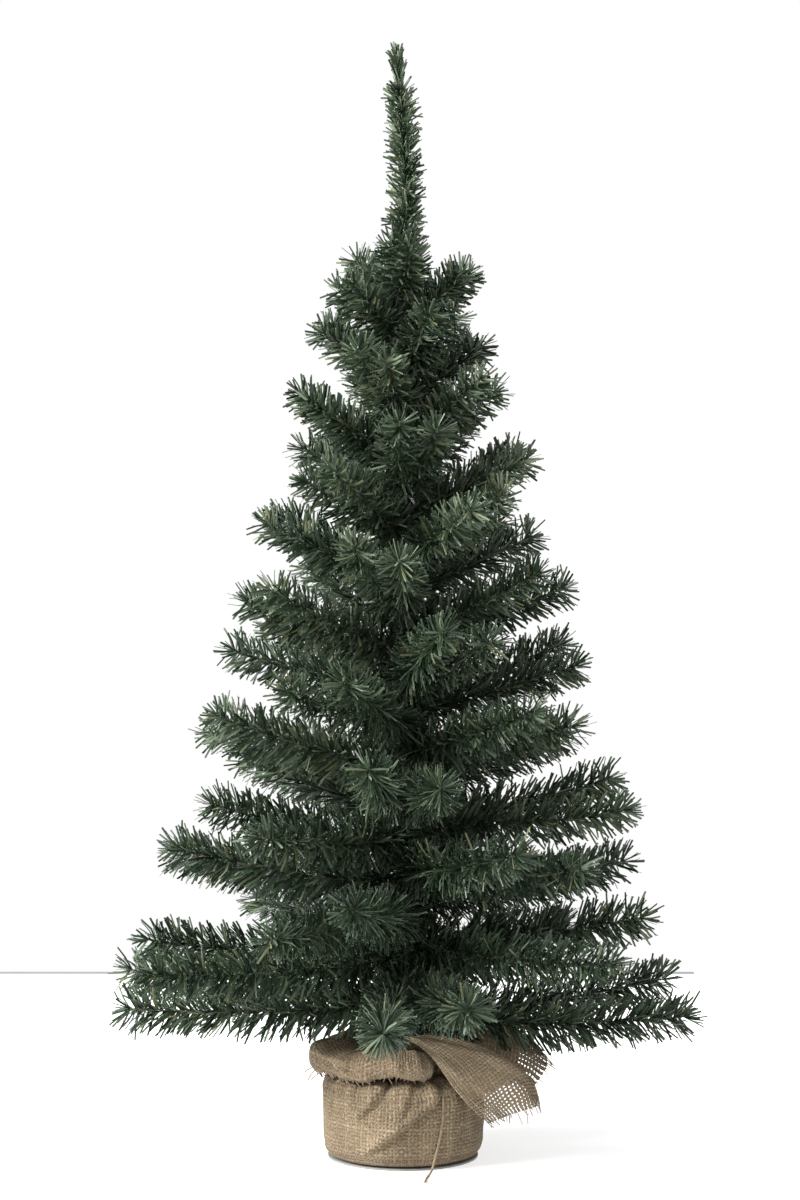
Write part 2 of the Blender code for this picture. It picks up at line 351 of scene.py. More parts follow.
def hessian():
    """Coarse plain weave along the strip's own length and width, thin-threaded where loose or frayed."""
    paint = Paint("hessian")
    cloth = paint.attribute("cloth")["Vector"]
    loose = paint.attribute("loose")["Fac"]
    frayed = paint.attribute("frayed")["Fac"]
    along, up, _ = paint.split(cloth)
    drift = paint.noise(cloth, 95.0, 2.0) - 0.5
    sway = paint.noise(cloth, 61.0, 2.0) - 0.5
    u = along / THREAD_PITCH + drift * 1.1
    v = up / THREAD_PITCH + sway * 1.1
    warp_number = u.maths("FLOOR")
    weft_number = v.maths("FLOOR")
    warp_kind = paint.chance(warp_number)
    weft_kind = paint.chance(weft_number + 517.0)
    slub = paint.noise(paint.scaled(cloth, (1.0, 0.12, 1.0)), 420.0, 3.0)
    slub_weft = paint.noise(paint.scaled(cloth, (0.12, 1.0, 1.0)), 420.0, 3.0)
    warp_half = 0.37 + 0.06 * warp_kind + 0.16 * (slub - 0.5) - 0.10 * loose
    weft_half = 0.37 + 0.06 * weft_kind + 0.16 * (slub_weft - 0.5) - 0.10 * loose - 0.40 * frayed
    warp_off = (u.maths("FRACT") - 0.5).maths("ABSOLUTE") / warp_half
    weft_off = (v.maths("FRACT") - 0.5).maths("ABSOLUTE") / weft_half.maths("MAXIMUM", 0.02)
    warp_round = (1.0 - warp_off * warp_off).maths("MAXIMUM", 0.0)
    weft_round = (1.0 - weft_off * weft_off).maths("MAXIMUM", 0.0)
    warp_over = 0.5 + 0.5 * ((v - 0.5 + warp_number) * math.pi).maths("COSINE")
    weft_over = 0.5 - 0.5 * ((u - 0.5 + weft_number) * math.pi).maths("COSINE")
    warp_high = warp_round * (0.30 + 0.70 * warp_over)
    weft_high = weft_round * (0.30 + 0.70 * weft_over)
    height = warp_high.maths("MAXIMUM", weft_high)
    warp_on_top = warp_high > weft_high
    thread_kind = warp_on_top * warp_kind + (1.0 - warp_on_top) * weft_kind
    fibre = paint.noise(cloth, 2600.0, 3.0)
    blotch = paint.noise(cloth, 38.0, 3.0)
    fleck = paint.noise(cloth, 700.0, 2.0)
    shade = thread_kind * 0.12 + fibre * 0.30 + (fleck - 0.5) * 0.72 + 0.14 + blotch * 0.34
    colour = paint.ramp(
        shade,
        [
            (0.24, (0.052, 0.035, 0.018)),
            (0.44, (0.126, 0.090, 0.052)),
            (0.58, (0.208, 0.156, 0.095)),
            (0.82, (0.392, 0.314, 0.204)),
        ],
    )
    # Painted shade in the gaps between the threads, where the weave lies low.
    gap_shade = (1.0 - height * 2.6).clamp()
    colour = paint.blend(gap_shade * 0.72, colour, (0.030, 0.019, 0.008))
    # Painted light: the collar's first stretch, the flap at the front right, is made paler, as if lit
    # through its thin threads.
    flap_painted_light = ((up - 0.108) / 0.02).clamp() * ((0.125 - along) / 0.02).clamp()
    colour = paint.blend(flap_painted_light * 0.20, colour, (0.40, 0.32, 0.21))
    solid = ((height > 0.03) + (loose < 0.5)).clamp()
    return paint.surface(
        Base_Color=colour,
        Roughness=0.86 + fibre * 0.1,
        Alpha=solid,
        Normal=paint.bump(height + fibre * 0.22, 0.0007, 0.85),
    )


def jute():
    """Twisted jute yarn: pale tan with darker fibres lying along the twist."""
    paint = Paint("jute")
    fibre = paint.noise(paint.scaled(paint.place(), (1.0, 1.0, 0.5)), 1500.0, 4.0)
    blotch = paint.noise(paint.place(), 160.0, 2.0)
    colour = paint.ramp(
        fibre * 0.6 + blotch * 0.4,
        [(0.30, (0.14, 0.098, 0.056)), (0.52, (0.27, 0.21, 0.135)), (0.72, (0.42, 0.35, 0.25))],
    )
    return paint.surface(Base_Color=colour, Roughness=0.9, Normal=paint.bump(fibre, 0.0003, 0.8))


def cement():
    """Grey cast cement with small air holes."""
    paint = Paint("cement")
    grain = paint.noise(paint.place(), 700.0, 5.0)
    holes = paint.noise(paint.place(), 260.0, 1.0)
    colour = paint.blend(grain, (0.27, 0.265, 0.25), (0.50, 0.49, 0.46))
    # The air holes are painted darker: painted shade inside them.
    sunk = (holes > 0.68) * 0.7
    colour = paint.blend(sunk, colour, (0.12, 0.115, 0.11))
    return paint.surface(Base_Color=colour, Roughness=0.9, Normal=paint.bump(grain - sunk, 0.0008, 0.8))


def felt():
    """Grey needle felt, its mid grey partly painted shadow: the grey line under the base."""
    paint = Paint("felt")
    hair = paint.noise(paint.scaled(paint.place(), (1.0, 1.0, 0.3)), 1800.0, 4.0)
    mottle = paint.noise(paint.place(), 120.0, 3.0)
    colour = paint.blend(hair * 0.6 + mottle * 0.4, (0.17, 0.168, 0.16), (0.36, 0.35, 0.33))
    return paint.surface(Base_Color=colour, Roughness=0.95, Normal=paint.bump(hair, 0.0006, 0.7))


def pale_floor():
    """White table top, as pale as the studio behind it."""
    paint = Paint("pale_floor")
    mist = paint.noise(paint.place(), 2.0, 2.0)
    colour = paint.blend(mist * 0.3, (0.62, 0.62, 0.62), (0.58, 0.58, 0.58))
    return paint.surface(
        Base_Color=colour,
        Roughness=0.85,
        Emission_Color=(1.0, 1.0, 1.0),
        Emission_Strength=0.66,
    )


def edge_painted_shade():
    """Painted shade of the table's far edge: a soft grey line."""
    paint = Paint("edge_painted_shade")
    mist = paint.noise(paint.place(), 30.0, 2.0)
    grey = paint.blend(mist, (0.17, 0.17, 0.175), (0.23, 0.23, 0.235))
    return paint.surface(Base_Color=grey, Roughness=0.7)


# ---------------------------------------------------------------- making meshes
def mesh_piece(name, points, faces, materials, face_finish=None, floats=None, vectors=None, smooth=False):
    """A mesh object from arrays of points and lists of faces, with values on its points."""
    mesh = bpy.data.meshes.new(name)
    mesh.from_pydata(np.asarray(points).tolist(), [], faces)
    for material in materials:
        mesh.materials.append(material)
    if face_finish is not None:
        mesh.polygons.foreach_set("material_index", np.asarray(face_finish, np.int32))
    for key, held in (floats or {}).items():
        spot = mesh.attributes.new(key, "FLOAT", "POINT")
        spot.data.foreach_set("value", np.asarray(held, np.float32))
    for key, held in (vectors or {}).items():
        spot = mesh.attributes.new(key, "FLOAT_VECTOR", "POINT")
        spot.data.foreach_set("vector", np.asarray(held, np.float32).ravel())
    if smooth:
        mesh.polygons.foreach_set("use_smooth", np.ones(len(mesh.polygons), bool))
    mesh.update()
    piece = bpy.data.objects.new(name, mesh)
    bpy.context.scene.collection.objects.link(piece)
    return piece


def unit(rows):
    return rows / np.maximum(np.linalg.norm(rows, axis=-1, keepdims=True), 1e-12)


def tangents(line):
    return unit(np.gradient(line, axis=0))


def spaced(line, step):
    """The line again, with its points evenly spaced at about that step."""
    lengths = np.concatenate([[0.0], np.cumsum(np.linalg.norm(np.diff(line, axis=0), axis=1))])
    marks = np.linspace(0.0, lengths[-1], max(3, int(round(lengths[-1] / step)) + 1))
    return np.stack([np.interp(marks, lengths, line[:, k]) for k in range(3)], axis=1)


def smooth_through(points, marks):
    """A smooth curve through the points, read at marks from 0 to their number less one."""
    points = np.asarray(points, float)
    last = len(points) - 1
    marks = np.clip(marks, 0.0, last)
    left = np.minimum(np.floor(marks).astype(int), last - 1)
    part = (marks - left)[:, None]
    a = points[np.maximum(left - 1, 0)]
    b = points[left]
    c = points[left + 1]
    d = points[np.minimum(left + 2, last)]
    shape = (len(marks),) + (1,) * (points.ndim - 1)
    part = part.reshape(shape)
    return 0.5 * (
        2.0 * b
        + (c - a) * part
        + (2.0 * a - 5.0 * b + 4.0 * c - d) * part**2
        + (3.0 * b - a - 3.0 * c + d) * part**3
    )


def carried_frames(line):
    """Two directions across the line at each point, that turn as little as they can."""
    along = tangents(line)
    start = np.array([0.0, 0.0, 1.0]) if abs(along[0][2]) < 0.9 else np.array([1.0, 0.0, 0.0])
    first = np.zeros_like(line)
    held = start
    for k, direction in enumerate(along):
        held = held - direction * (held @ direction)
        held = held / max(np.linalg.norm(held), 1e-12)
        first[k] = held
    return along, first, np.cross(along, first)


def ring_tube(line, outline, closed=False):
    """Points and faces of a tube: outline(k) gives the (first, second) points of its k-th ring."""
    _, first, second = carried_frames(line)
    rings = []
    for k, place in enumerate(line):
        flat = outline(k)
        rings.append(place + first[k] * flat[:, :1] + second[k] * flat[:, 1:2])
    sides = len(rings[0])
    points = np.concatenate(rings)
    faces = []
    count = len(line)
    for k in range(count if closed else count - 1):
        after = (k + 1) % count
        for side in range(sides):
            nxt = (side + 1) % sides
            faces.append((k * sides + side, k * sides + nxt, after * sides + nxt, after * sides + side))
    if not closed:
        faces.append(tuple(reversed(range(sides))))
        faces.append(tuple(range((count - 1) * sides, count * sides)))
    return points, faces


def twisted_yarn(line, thick, pitch, dice, sides=10, closed=False):
    """A two-ply twisted yarn along the line, its surface swelling and thinning a little."""
    step = np.linalg.norm(line[1] - line[0])
    corners = np.linspace(0.0, 2.0 * math.pi, sides, endpoint=False)
    swell = [1.0 + dice.uniform(-0.07, 0.07) for _ in line]

    def outline(k):
        twist = 2.0 * math.pi * k * step / pitch
        lobes = 0.80 + 0.20 * np.abs(np.cos(corners - twist))
        radius = thick / 2.0 * lobes * swell[k]
        return np.stack([radius * np.cos(corners), radius * np.sin(corners)], axis=1)

    return ring_tube(line, outline, closed)


def stray_fibres(line, thick, count, long, dice):
    """Fine hairs that stand out of a yarn."""
    along, first, second = carried_frames(line)
    points, faces = [], []
    for _ in range(count):
        k = dice.randrange(1, len(line) - 1)
        angle = dice.uniform(0.0, 2.0 * math.pi)
        out = first[k] * math.cos(angle) + second[k] * math.sin(angle)
        way = unit(out + along[k] * dice.uniform(-0.9, 1.6))
        curl = unit(np.cross(way, out) + along[k] * dice.uniform(-0.5, 0.5))
        reach = long * dice.uniform(0.4, 1.0)
        root = line[k] + out * thick * 0.30
        shares = (0.0, 0.35, 0.7, 1.0)
        hair = [root + way * reach * share + curl * reach * 0.35 * share**2 for share in shares]
        base = len(points)
        width = 0.00009
        for place in hair:
            for turn in (0.0, 2.1, 4.2):
                rim = math.cos(turn) * curl + math.sin(turn) * np.cross(way, curl)
                points.append(place + width * rim)
        for k2 in range(3):
            for side in range(3):
                nxt = (side + 1) % 3
                low, high = base + 3 * k2, base + 3 * k2 + 3
                faces.append((low + side, low + nxt, high + nxt, high + side))
        faces.append((base + 2, base + 1, base))
        faces.append((base + 9, base + 10, base + 11))
    return np.array(points), faces


def merged(parts):
    """Several (points, faces) as one."""
    points, faces, start = [], [], 0
    for some, its_faces in parts:
        points.append(some)
        faces.extend(tuple(start + k for k in face) for face in its_faces)
        start += len(some)
    return np.concatenate(points), faces


def keep(piece, body, slot, *nodes):
    """Puts a piece on its body, in place of nodes if any are named. Its slot is not used."""
    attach(piece, body)
    if nodes:
        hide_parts(*nodes)


# ---------------------------------------------------------------- camera and cord
def aimed(name, data, place, aim):
    """A camera or a lamp in the scene, turned towards a spot."""
    thing = bpy.data.objects.new(name, data)
    thing.location = place
    thing.rotation_euler = (Vector(aim) - Vector(place)).to_track_quat("-Z", "Y").to_euler()
    bpy.context.scene.collection.objects.link(thing)
    return thing


def camera():
    lens = bpy.data.cameras.new("camera")
    lens.lens = CAMERA_LENS
    lens.sensor_width = 36.0
    bpy.context.scene.camera = aimed("camera", lens, CAMERA_PLACE, CAMERA_AIM)


def around(bearing, radius, height):
    """Places from their bearings in degrees, radii and heights, which may be single numbers or grids."""
    angle = np.radians(bearing)
    return np.stack([radius * np.cos(angle), radius * np.sin(angle), height], axis=-1)


def twine_route():
    """The loose end's own line: off the knot, over the shoulder, down the side and out on the table."""
    start = KNOT.xy.length + 0.0029
    lying = TWINE_THICK / 2
    route = (
        (-40.0, start, NECK_Z - 0.0010),
        (-45.8, start + 0.0030, NECK_Z - 0.0018),
        (-50.9, SIDE - 0.0114, TOP + 0.0072),
        (-54.4, SIDE - 0.0079, TOP + 0.0062),
        (-57.1, SIDE - 0.0046, TOP + 0.0048),
        (-59.5, SIDE - 0.0007, TOP + 0.0028),
        (-60.8, SIDE + 0.0012, TOP - 0.0004),
        (-61.4, SIDE + 0.0022, TOP - 0.0045),
        (-61.6, SIDE + 0.0024, TOP - 0.0100),
        (-62.0, SIDE + 0.0024, TOP - 0.0170),
        (-63.2, SIDE + 0.0026, TOP - 0.0240),
        (-65.0, SIDE + 0.0031, TOP - 0.0310),
        (-67.4, SIDE + 0.0043, TOP - 0.0375),
        (-70.0, SIDE + 0.0070, TOP - 0.0430),
        (-73.0, SIDE + 0.0116, TOP - 0.0470),
        (-76.0, SIDE + 0.0174, lying + 0.00035),
        (-78.4, SIDE + 0.0240, lying),
        (-80.6, SIDE + 0.0345, lying),
    )
    return [around(*spot) for spot in route]


def loose_end(yarn):
    """The cord: a bare end of jute twine."""
    dice = random.Random(3)
    stops = twine_route()
    line = smooth_through(stops, np.linspace(0.0, len(stops) - 1, 220))
    line = spaced(line, 0.0006)
    points, faces = twisted_yarn(line, TWINE_THICK, TWINE_PITCH, dice)
    piece = mesh_piece("twine_loose_end", points, faces, [yarn], smooth=True)
    keep(piece, "base", "twine_tail", "twine_tail")
    points, faces = stray_fibres(line, TWINE_THICK, 70, 0.0030, dice)
    points[:, 2] = np.maximum(points[:, 2], 0.0003)
    hairs = mesh_piece("twine_loose_hairs", points, faces, [yarn], smooth=True)
    keep(hairs, "base", "twine_tail")


# ---------------------------------------------------------------- branches
STRIP_QUADS = np.array([(0, 1, 4, 3), (1, 2, 5, 4), (2, 0, 3, 5), (3, 4, 7, 6), (4, 5, 8, 7), (5, 3, 6, 8)])
STRIP_ENDS = np.array([(0, 2, 1), (6, 7, 8)])


def needles(line, long, count, dice, root_share=0.0, lean=NEEDLE_LEAN, tip_fan=0.003, tone_and_painted_light=0.45,
            wild=11.0, tuft=0.0):
    """Strips of film held between the wires of a line: points, faces and each point's tone and reach.

    lean and wild are the angle to the wire and its unevenness, in degrees; tuft is the closed last stretch.
    """
    lengths = np.concatenate([[0.0], np.cumsum(np.linalg.norm(np.diff(line, axis=0), axis=1))])
    total = lengths[-1]
    spots = (np.arange(count) + dice.random(count)) / count
    marks = np.sort(total * (root_share + (1.0 - root_share) * spots))
    at_tip = max(6, count // 40)
    marks[-at_tip:] = total - dice.random(at_tip) * 0.002
    at_stem = max(8, count // 16)
    marks[:at_stem] = total * root_share + dice.random(at_stem) * 0.006
    place = np.stack([np.interp(marks, lengths, line[:, k]) for k in range(3)], axis=1)
    along_all, first_all, second_all = carried_frames(line)

    def read(rows):
        return unit(np.stack([np.interp(marks, lengths, rows[:, k]) for k in range(3)], axis=1))

    along, first, second = read(along_all), read(first_all), read(second_all)
    roll = marks / NEEDLE_TURN * math.pi + dice.random(count) * 2.0 * math.pi
    out = first * np.cos(roll)[:, None] + second * np.sin(roll)[:, None]
    to_tip = np.clip((total - marks) / tip_fan, 0.0, 1.0)
    at_root = np.clip(1.0 - marks / ROOT_LONG, 0.0, 1.0)
    spread = np.where(to_tip < 0.8, 0.10 + 0.90 * dice.random(count) ** 0.7, 1.0)
    angle = np.radians(lean * spread + ROOT_LEAN * at_root + dice.normal(0.0, wild, count))
    angle = np.where(total - marks < tuft, angle * TUFT_SHARE, angle)
    angle = np.maximum(angle, math.radians(LEAST_LEAN))
    way = along * np.cos(angle)[:, None] + out * np.sin(angle)[:, None]
    bend = np.radians(NEEDLE_CURL + dice.normal(0.0, 9.0, count))
    sway = dice.normal(0.0, 0.12, (count, 3))
    tip_way = unit(way + along * np.tan(bend)[:, None] + sway)
    inner = 0.97 + (INNER_LONGER - 1.0) * (1.0 - marks / total)
    reach = long * inner * (0.80 + 0.26 * dice.random(count)) * (0.50 + 0.50 * spread)
    flat = unit(along - way * (along * way).sum(1)[:, None])
    face = np.cross(way, flat)
    spin = dice.normal(0.0, 0.55, count)
    wide = flat * np.cos(spin)[:, None] + face * np.sin(spin)[:, None]
    back = np.cross(way, wide)
    root = place + out * 0.0004
    middle = root + way * (reach * 0.5)[:, None]
    tip = middle + tip_way * (reach * 0.5)[:, None]
    width = NEEDLE_WIDE * (0.85 + 0.3 * dice.random(count))
    sections = []
    for spot, share in ((root, 0.8), (middle, 1.0), (tip, 0.82)):
        half = (width * share * 0.5)[:, None]
        sections += [spot + wide * half, spot - wide * half, spot + back * NEEDLE_THICK]
    points = off_the_stem(np.stack(sections, axis=1).reshape(-1, 3))
    starts = np.arange(count)[:, None, None] * 9
    quads = (STRIP_QUADS[None] + starts).reshape(-1, 4)
    ends = (STRIP_ENDS[None] + starts).reshape(-1, 3)
    # Tones spread round the mean given, which the callers raise as painted light on the higher branches.
    kind = np.clip(dice.normal(tone_and_painted_light, 0.29, count), 0.0, 0.9)
    kind[dice.random(count) < 0.02] = 1.0
    tone = np.repeat(kind, 9)
    reach_share = np.tile(np.repeat([0.0, 0.5, 1.0], 3), count)
    return points, quads.tolist() + ends.tolist(), tone, reach_share


def off_the_stem(points):
    """Needles that would run into the stem lie against its tape instead."""
    reach = np.maximum(np.hypot(points[:, 0], points[:, 1]), 1e-6)
    low = (points[:, 2] < STEM_TOP) & (reach < STEM_RADIUS)
    push = np.where(low, (STEM_RADIUS + 0.3 * (reach / STEM_RADIUS) * TAPE_SLACK) / reach, 1.0)
    moved = points.copy()
    moved[:, 0] *= push
    moved[:, 1] *= push
    return moved


def wire(line):
    """A twisted pair of wires, seen as one flat bar that turns as it goes."""
    line = spaced(line, WIRE_STEP)
    corners = np.array([(WIRE_WIDE, 0.0), (0.0, WIRE_FLAT), (-WIRE_WIDE, 0.0), (0.0, -WIRE_FLAT)])

    def outline(k):
        turn = math.radians(WIRE_TURN * k)
        spin = np.array([(math.cos(turn), -math.sin(turn)), (math.sin(turn), math.cos(turn))])
        return corners @ spin.T

    return ring_tube(line, outline)


def node_points(node):
    mesh = frame["nodes"][node].data
    rows = np.zeros(len(mesh.vertices) * 3)
    mesh.vertices.foreach_get("co", rows)
    return rows.reshape(-1, 3)


def arm_lines(node, joint):
    """The middle lines of a branch's two arms, from the stem to the tips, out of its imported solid."""
    pivot = np.array(joint["pos_m"], float)
    hinge = np.array(joint["axis"], float)
    up = np.array([0.0, 0.0, 1.0])
    outward = np.cross(up, hinge)
    across = np.cross(up, outward)
    rows = node_points(node) - pivot
    out, side, rise = rows @ outward, rows @ across, rows @ up
    lines = []
    for sign in (-1.0, 1.0):
        far = (side * sign > 0.0) & (out > 0.0)
        reach = out[far].max()
        mine = far & (out > 0.03 * reach)
        sideways = np.polyfit(out[mine], side[mine], 2)
        height = np.polyfit(out[mine], rise[mine], 2)
        steps = np.linspace(0.0, reach, 40)
        lines.append(
            pivot
            + outward * steps[:, None]
            + across * np.polyval(sideways, steps)[:, None]
            + up * np.polyval(height, steps)[:, None]
        )
    return lines


def brush(name, body, node, line, strips, film, metal):
    """A brush in one piece: the twisted wires along a line, and the needles made for it."""
    metal_points, metal_faces = wire(line)
    bare = np.zeros(len(metal_points))
    points, faces = merged([(metal_points, metal_faces)] + [made[:2] for made in strips])
    finish_of = [1] * len(metal_faces) + [0] * (len(faces) - len(metal_faces))
    floats = {
        "tone": np.concatenate([bare] + [made[2] for made in strips]),
        "reach": np.concatenate([bare] + [made[3] for made in strips]),
    }
    keep(mesh_piece(name, points, faces, [film, metal], finish_of, floats), body, node, node)


def branch(number, joint, film, metal):
    """One folded brush wire: both tips and the fold wound round the stem, in one piece."""
    node = joint["child"]
    height = joint["pos_m"][2]
    share = (height - cad_box[0].z) / (cad_box[1].z - cad_box[0].z)
    long = NEEDLE_LONG + (NEEDLE_SHORT - NEEDLE_LONG) * share / BRANCHES_TOP
    dice = np.random.default_rng(1000 + number)
    lines = arm_lines(node, joint)
    # Mean tone: a random step per branch, plus painted light that makes the higher branches paler.
    tone_and_painted_light = 0.42 + 0.16 * share + dice.uniform(-0.14, 0.14)
    fold = (lines[0][0] + lines[1][0]) / 2.0
    wound = fold + np.array([0.0, 0.0, 1.0]) * np.linspace(WOUND_HALF, -WOUND_HALF, 12)[:, None]
    strips = []
    for line in lines:
        count = int(np.linalg.norm(np.diff(line, axis=0), axis=1).sum() * NEEDLES_PER_METRE)
        strips.append(needles(line, long, count, dice, 0.004, tone_and_painted_light=tone_and_painted_light))
    strips.append(needles(wound, long, WOUND_NEEDLES, dice, 0.004, WOUND_LEAN, 0.001, tone_and_painted_light))
    folded = np.concatenate([lines[0][::-1], lines[1]])
    brush(node + "_brush", node, node, folded, strips, film, metal)


def top_wire(film, metal):
    """The straight top of the tree, its short needles swept up."""
    rows = node_points("leader")
    low, high = rows[:, 2].min(), rows[:, 2].max()
    curve = np.polyfit(rows[:, 2], rows[:, 0], 3)
    heights = np.linspace(low, high - TOP_SHORT, 60)
    line = np.stack([np.polyval(curve, heights), np.zeros(60), heights], axis=1)
    dice = np.random.default_rng(77)
    # Its film tone matches the highest branches': the same painted light from above.
    made = needles(line, TOP_NEEDLE, TOP_NEEDLES, dice, 0.0, TOP_LEAN, 0.006, 0.58, 22.0, TOP_TUFT)
    brush("top_wire_brush", "top_wire", "leader", line, [made], film, metal)


# ---------------------------------------------------------------- hessian
# The collar, one line from the twine to the cut edge for each station: (bearing, radius, height) in
# degrees and mm.
COLLAR = (
    ((-100, 24.5, 60), (-108, 28, 75), (-104, 32.5, 84), (-82, 38.5, 85), (-71, 46.4, 79),
     (-64, 55.4, 69.5), (-59, 63, 57.5), (-53, 71.3, 45.5), (-46, 80.6, 33.5)),
    ((-76, 25, 60), (-90, 29, 77), (-84, 35, 86), (-67, 42, 87), (-55, 52, 82.5), (-46, 62, 74.5),
     (-41, 72, 63.5), (-38, 80, 50.5), (-35.5, 88, 38)),
    ((-52, 25.5, 60), (-66, 29, 77), (-64, 34, 86), (-49, 42.4, 86.5), (-37, 57, 82), (-31, 71, 77),
     (-26.5, 86, 67), (-24.5, 95, 54.5), (-24, 99, 42.5)),
    ((-38, 26, 60), (-42, 30, 70), (-41, 36, 75), (-35, 46, 74), (-29, 58, 70), (-25, 69, 66),
     (-22, 78, 60), (-20, 86, 53), (-20, 90, 47)),
    ((-22, 26.2, 60), (-22, 31, 72), (-20, 37, 78), (-16, 47, 80), (-12, 58, 78), (-9, 70, 75),
     (-7, 82, 71), (-7, 92, 66), (-8, 98, 63)),
    ((-5, 26.5, 60), (0, 31, 75), (8, 38, 86), (14, 48, 91), (14, 58, 92), (12, 68, 90), (8, 78, 84),
     (4, 86, 76), (0, 93, 70)),
    ((20, 26.6, 60), (22, 31, 75), (26, 38, 84), (30, 48, 89), (32, 58, 90), (31, 68, 87), (28, 77, 82),
     (25, 84, 76)),
    ((50, 26.8, 60), (50, 31, 73), (52, 39, 81), (54, 49, 84), (55, 60, 83), (56, 70, 78), (56, 78, 71)),
    ((85, 27, 60), (85, 31, 72), (85, 39, 78), (86, 49, 79.5), (87, 59, 77), (87, 68, 71), (87, 74, 63),
     (87, 76, 55)),
    ((120, 27, 60), (120, 31, 71), (120, 39, 77), (120, 49, 77.5), (120, 58, 73.5), (120, 64, 66),
     (120, 66, 57), (120, 63, 51)),
    ((158, 27.2, 60), (158, 30, 73), (158, 39, 78), (158, 49, 78), (158, 57, 76), (158, 62, 71),
     (158, 62.5, 65), (158, 59, 60)),
    ((188, 27.4, 60), (188, 30, 74), (188, 39, 79), (188, 49.5, 79), (188, 58.5, 77.5), (188, 63, 73),
     (188, 60.5, 68.5), (188, 60.8, 64), (188, 57.5, 60)),
    ((212, 27.6, 60), (212, 30, 73.5), (212, 39, 78), (212, 48.5, 77.5), (212, 56, 75), (212, 60.5, 71.5),
     (212, 57, 67), (212, 59.5, 63.5), (212, 56, 60)),
    ((236, 27.8, 60), (235, 30, 72.5), (234, 38, 76), (234, 46, 75.5), (234, 52, 73), (234, 55, 69),
     (234, 53.5, 65), (234, 56.5, 62.5), (234, 53.5, 60)),
    ((262, 28, 60), (262, 30, 72), (262, 38, 79), (262, 47, 80), (262, 54.5, 78), (262, 59.5, 72),
     (262, 58.5, 66), (262, 53, 62)),
    ((285, 28.2, 60), (284, 31, 68), (282, 37, 76), (281, 45, 78.5), (281, 52, 75.5), (281, 56.5, 69.5),
     (281, 55, 64), (281, 49, 61.5)),
    ((300, 28.4, 60), (299, 30, 65), (297, 34, 70), (295, 40, 71), (294, 45, 69), (293, 47, 65.5),
     (293, 45, 62)),
)

# Pleats on the side and shoulder: (bearing, height) at both ends, how proud, how wide, in degrees and mm.
PLEATS = (
    ((-61, 51), (-115, 12), 4.4, 10.0),
    ((-45, 58), (-48, 20), 3.4, 5.0),
    ((-98, 60), (-123, 34), 2.8, 5.5),
    ((-142, 58), (-156, 30), 1.4, 7.0),
    ((-82, 58), (-92, 36), 1.6, 5.0),
    ((-128, 40), (-104, 24), 1.3, 6.0),
    ((-10, 56), (-2, 20), 1.8, 7.0),
    ((35, 58), (52, 14), 2.0, 8.0),
    ((80, 58), (74, 26), 1.6, 6.0),
    ((128, 58), (142, 16), 1.9, 8.0),
    ((172, 57), (164, 30), 1.3, 6.0),
)

# Loose threads at the left of the collar: bearing, radius, height, fall and sideways swing, in degrees
# and mm.
STRAYS = (
    (196, 59.6, 64.0, 4.5, -2.0),
    (199, 59.2, 63.0, 7.5, 1.5),
    (205, 57.8, 61.8, 6.0, -3.5),
)


def smoothstep(low, high, number):
    part = np.clip((number - low) / (high - low), 0.0, 1.0)
    return part * part * (3.0 - 2.0 * part)


def waves(x, y, seed):
    """Soft bounded unevenness from a few sine waves."""
    dice = np.random.default_rng(seed)
    total = np.zeros(np.broadcast(x, y).shape)
    for size in (1.0, 1.7, 2.9, 4.3):
        a, b, c = dice.uniform(0.6, 1.4), dice.uniform(-1.0, 1.0), dice.uniform(0.0, 6.28)
        total = total + np.sin(size * (a * x + b * y) + c) / size
    return total / 2.0


def side_section():
    """Radius and height of the cloth's middle, from its turn-under up to the twine."""
    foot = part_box("base_pad")[1].z + 0.0009
    side_line = np.array([
        (0.0340, foot),
        (SIDE - 0.0072, foot),
        (SIDE - 0.0034, foot + 0.0011),
        (SIDE - 0.0009, foot + 0.0046),
        (SIDE + 0.0002, foot + 0.0110),
        (SIDE, (foot + TOP) / 2),
        (SIDE, TOP - 0.0025),
        (SIDE - 0.0020, TOP + 0.0032),
        (SIDE - 0.0095, TOP + 0.0062),
        (NECK + 0.0060, NECK_Z - 0.0036),
        (NECK + 0.0012, NECK_Z - 0.0022),
        (NECK, NECK_Z),
    ])
    section = np.column_stack([side_line[:, 0], np.zeros(len(side_line)), side_line[:, 1]])
    return spaced(section, CLOTH_STEP)[:, [0, 2]]


def pleats(bearing, height):
    """How far the pleats stand out at each place on the side and shoulder."""
    proud = np.zeros(bearing.shape)
    for (b0, z0), (b1, z1), rise, wide in PLEATS:
        flat_x = np.radians((bearing - b0 + 180.0) % 360.0 - 180.0) * SIDE
        flat_y = height - z0 / 1000.0
        run = np.array([math.radians(b1 - b0) * SIDE, (z1 - z0) / 1000.0])
        length = float(np.linalg.norm(run))
        run = run / length
        on_run = flat_x * run[0] + flat_y * run[1]
        off_run = flat_x * run[1] - flat_y * run[0]
        fade = smoothstep(-0.004, 0.004, on_run) * (1.0 - smoothstep(length * 0.75, length * 1.15, on_run))
        ridge = np.where(off_run > 0.0, np.exp(-off_run / (wide / 1000.0)), np.exp(off_run / 0.0007))
        valley = -VALLEY_DEEP * np.exp(-((off_run + VALLEY_OFF) / VALLEY_WIDE) ** 2)
        proud = proud + rise / 1000.0 * fade * (ridge + valley)
    return proud


